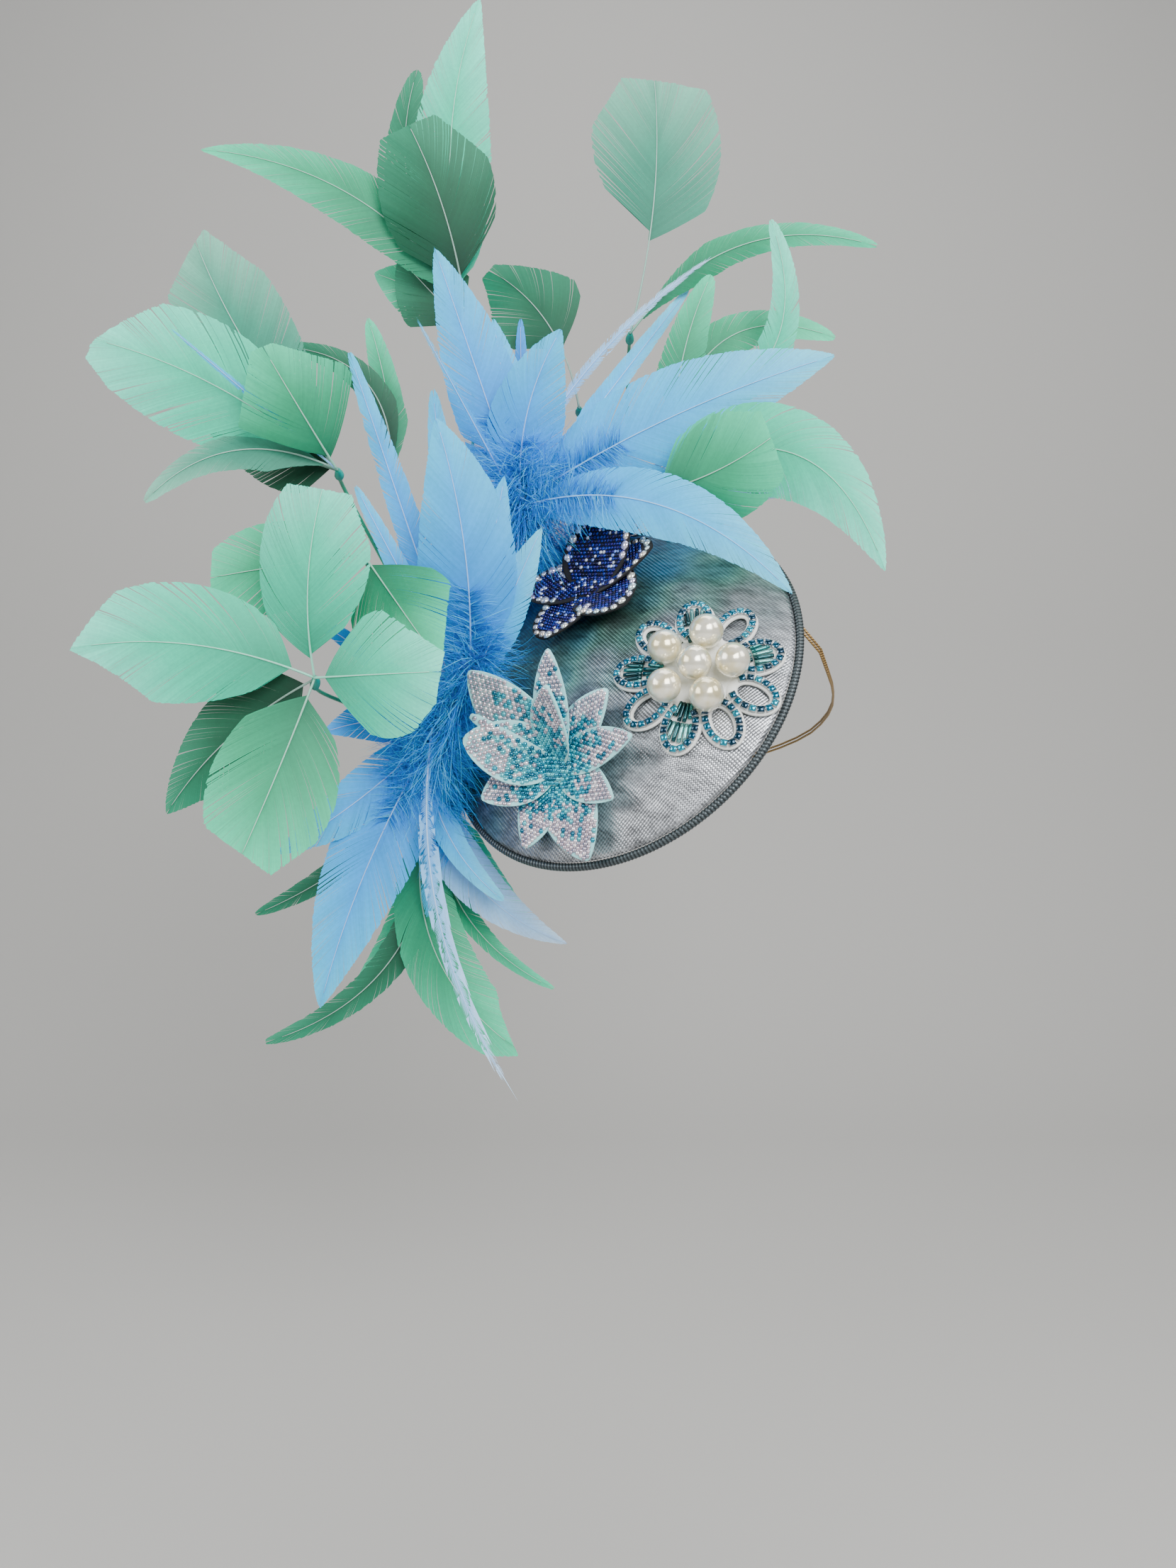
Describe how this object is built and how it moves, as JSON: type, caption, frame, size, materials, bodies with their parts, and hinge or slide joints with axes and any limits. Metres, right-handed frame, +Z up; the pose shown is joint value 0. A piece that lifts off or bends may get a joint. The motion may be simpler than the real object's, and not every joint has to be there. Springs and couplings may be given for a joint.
{
  "type": "fascinator",
  "caption": "Saucer fascinator with fans of dyed feathers, beaded flowers, pearls and a doubled elastic, held in its worn pose.",
  "frame": {"origin": "middle of the hollow underside of the saucer base, where it sits on the head", "axes": "+Z up as worn, -Y towards the front of the wearer's view, +X to the viewer's right; the saucer faces left, forward and up"},
  "size_m": [0.3361, 0.1852, 0.4646],
  "materials": {
    "organza_cloth": "silver organza laid over a stiff buckram saucer",
    "edge_binding": "grey ribbed bias binding over wire",
    "navy_beading": "black felt petals covered with royal blue and clear stones",
    "aqua_beading": "pale aqua foam petals covered with aqua and clear stones",
    "white_felt": "white felt lobes edged with teal stone chain",
    "ivory_pearl": "ivory imitation pearl",
    "blue_feather": "dyed goose and rooster feather, sky blue",
    "green_feather": "dyed goose pad feather, mint to emerald",
    "bronze_elastic": "bronze covered elastic thread"
  },
  "bodies": {
    "root": {"base_saucer": "organza_cloth", "bound_edge": "edge_binding", "navy_flower": "navy_beading", "lotus_flower": "aqua_beading", "lace_flower": "white_felt", "blue_plume_top": "blue_feather", "blue_plume_low": "blue_feather", "green_spray_left_low": "green_feather", "green_spray_left_mid": "green_feather", "green_spray_left_high": "green_feather", "green_spray_inner": "green_feather", "green_spray_top": "green_feather", "green_leaf_single": "green_feather", "green_spray_tall": "green_feather", "green_spray_right_back": "green_feather", "green_spray_right_front": "green_feather", "green_spray_bottom": "green_feather", "elastic_upper": "bronze_elastic", "elastic_lower": "bronze_elastic", "pearl_1": "ivory_pearl", "pearl_2": "ivory_pearl", "pearl_3": "ivory_pearl", "pearl_4": "ivory_pearl", "pearl_5": "ivory_pearl", "pearl_6": "ivory_pearl"}
  },
  "joints": []
}
